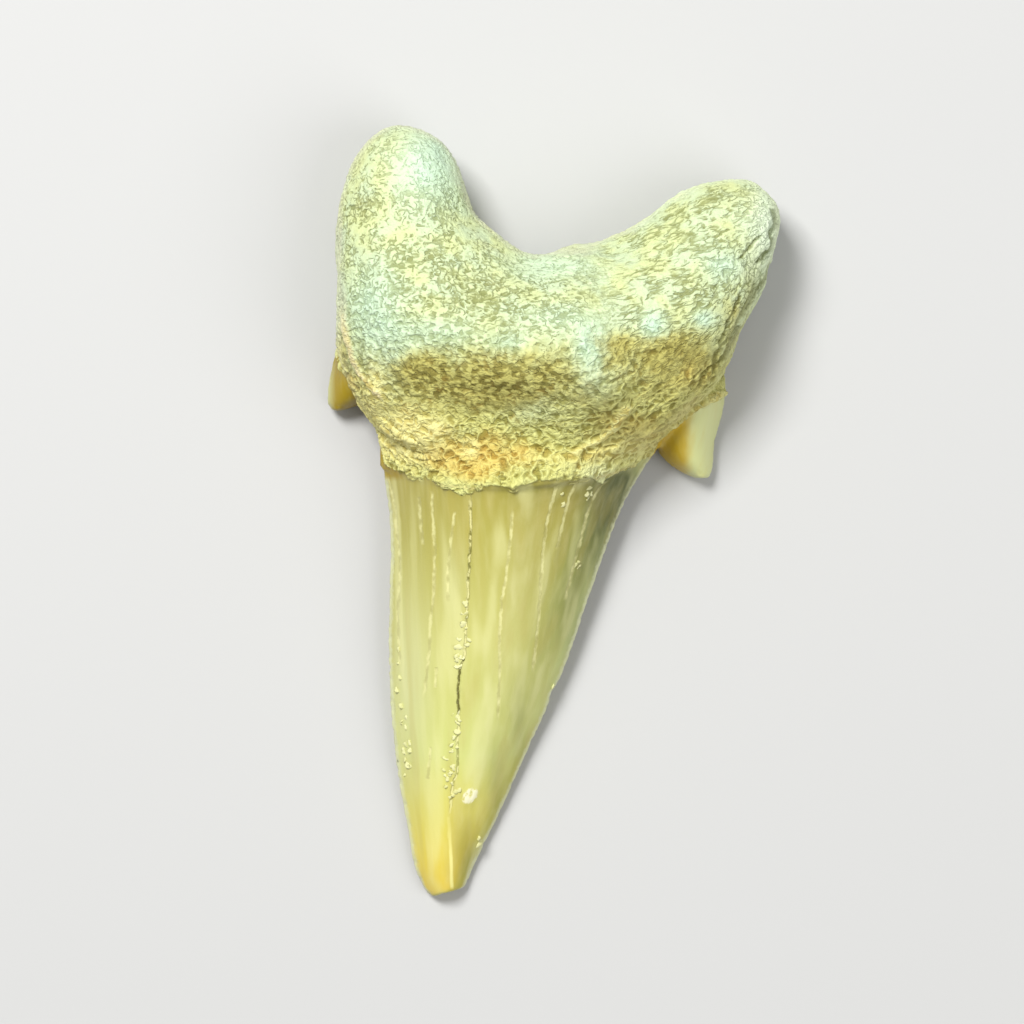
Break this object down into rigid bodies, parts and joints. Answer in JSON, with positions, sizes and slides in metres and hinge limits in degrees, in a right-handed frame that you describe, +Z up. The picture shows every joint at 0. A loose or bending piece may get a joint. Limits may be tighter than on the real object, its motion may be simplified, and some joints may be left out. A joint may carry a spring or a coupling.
{
  "type": "fossil shark tooth",
  "caption": "Fossil mackerel-shark tooth with a forked root, a smooth cracked crown and a small cusplet on each side, lying on its flat side.",
  "frame": {"origin": "on the surface that the tooth lies on, under the middle of its outline seen from above", "axes": "+X across the tooth, to the right with the root away from the viewer; +Y from the crown's tip to the root; +Z up, out of the convex lingual side"},
  "size_m": [0.0284, 0.0484, 0.0126],
  "materials": {
    "fossil_tooth": "olive-yellow semi-gloss crown, matt cream root with ochre stains"
  },
  "bodies": {
    "root": {"tooth": "fossil_tooth"}
  },
  "joints": []
}
